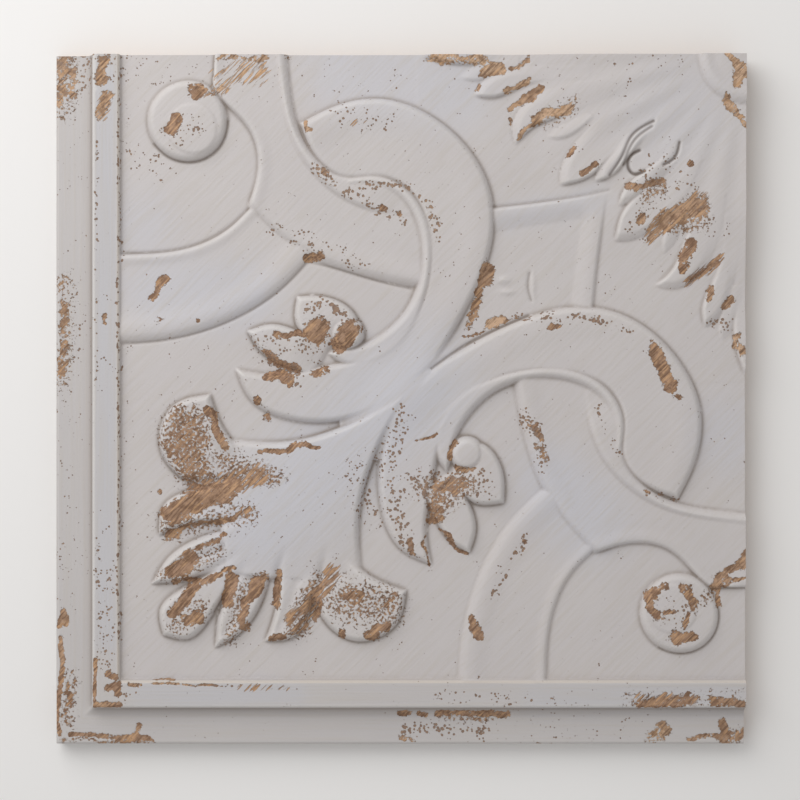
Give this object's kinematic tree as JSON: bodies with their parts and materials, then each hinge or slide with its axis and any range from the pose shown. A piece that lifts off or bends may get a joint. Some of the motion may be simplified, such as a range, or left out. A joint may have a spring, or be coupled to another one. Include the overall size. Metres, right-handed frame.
{
  "type": "carved wall panel",
  "caption": "Square carved wooden wall panel with a coved border on two sides, scrolls, a corner leaf and a quarter rosette in worn white paint.",
  "frame": {"origin": "middle of the flat back face", "axes": "+Z out of the carved face, +X to the right and +Y up as the panel is seen from its face; the border is along -X and -Y, the plain sides are +X and +Y"},
  "size_m": [0.4, 0.4, 0.025],
  "materials": {
    "painted_wood": "chalky white paint, worn through to brown wood"
  },
  "bodies": {
    "root": {"carved_panel": "painted_wood"}
  },
  "joints": []
}
